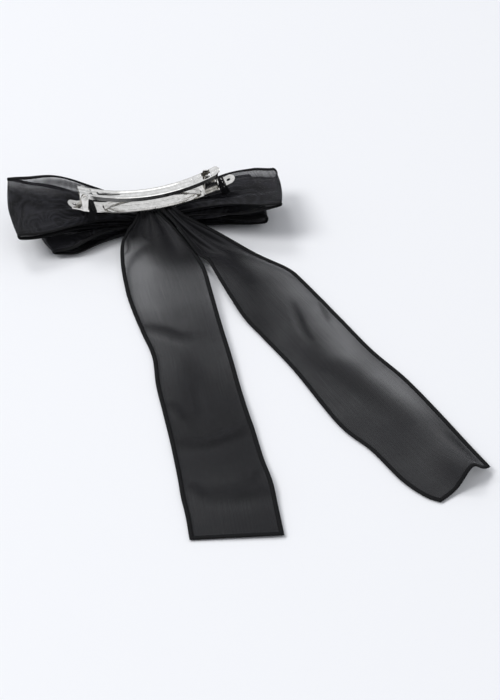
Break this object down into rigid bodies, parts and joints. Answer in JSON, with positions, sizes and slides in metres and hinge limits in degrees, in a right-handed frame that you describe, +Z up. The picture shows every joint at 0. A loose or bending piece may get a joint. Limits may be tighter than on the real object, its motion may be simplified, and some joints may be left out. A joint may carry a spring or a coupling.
{
  "type": "ribbon hair bow with a french barrette",
  "caption": "Sheer ribbon hair bow with flat loops and long hemmed tails, sewn to a curved hinged barrette with a squeeze catch.",
  "frame": {"origin": "on the flat front of the knot, which rests on the table, under the middle of the barrette", "axes": "+X along the barrette from its hinge to its catch, -Y along the tails, +Z up from the front of the bow to the clip on its back"},
  "size_m": [0.1661, 0.2399, 0.0311],
  "materials": {
    "nickel_plated_steel": "bright nickel plate on pressed steel strip",
    "organza": "sheer black woven polyester organza",
    "hem_thread": "dense overlocked edge of black thread",
    "sewing_thread": "black polyester sewing thread, wound and knotted"
  },
  "bodies": {
    "bow": {"base_plate": "nickel_plated_steel", "hinge_pin": "nickel_plated_steel", "tension_spring": "nickel_plated_steel", "catch_plate": "nickel_plated_steel", "catch_rivet": "nickel_plated_steel", "hinge_end_lashing": "sewing_thread", "catch_end_lashing": "sewing_thread", "centre_stitch": "sewing_thread", "gathering_thread": "sewing_thread", "back_left_loop": "organza", "back_right_loop": "organza", "front_left_loop": "organza", "front_right_loop": "organza", "left_tail": "organza", "right_tail": "organza", "centre_wrap": "organza", "back_left_loop_hem": "hem_thread", "back_right_loop_hem": "hem_thread", "front_left_loop_hem": "hem_thread", "front_right_loop_hem": "hem_thread", "left_tail_hem": "hem_thread", "right_tail_hem": "hem_thread"},
    "arm": {"clasp_arm": "nickel_plated_steel"},
    "near_prong": {"catch_prong_near": "nickel_plated_steel"},
    "far_prong": {"catch_prong_far": "nickel_plated_steel"}
  },
  "joints": [
    {"name": "arm_hinge", "type": "hinge", "parent": "bow", "child": "arm", "pos_m": [-0.0325, 0, 0.02831], "axis": [0, -1, 0], "range_deg": [0, 95]},
    {"name": "near_prong_squeeze", "type": "hinge", "parent": "bow", "child": "near_prong", "pos_m": [0.0276, -0.0021, 0.02056], "axis": [-0.9619, 0, -0.2733], "range_deg": [-2, 5], "stiffness_Nm_per_rad": 0.02},
    {"name": "far_prong_squeeze", "type": "hinge", "parent": "bow", "child": "far_prong", "pos_m": [0.0276, 0.0021, 0.02056], "axis": [0.9619, 0, 0.2733], "range_deg": [-2, 5], "stiffness_Nm_per_rad": 0.02}
  ],
  "couplings": [
    {"joint": "far_prong_squeeze", "follows": "near_prong_squeeze", "ratio": 1}
  ]
}
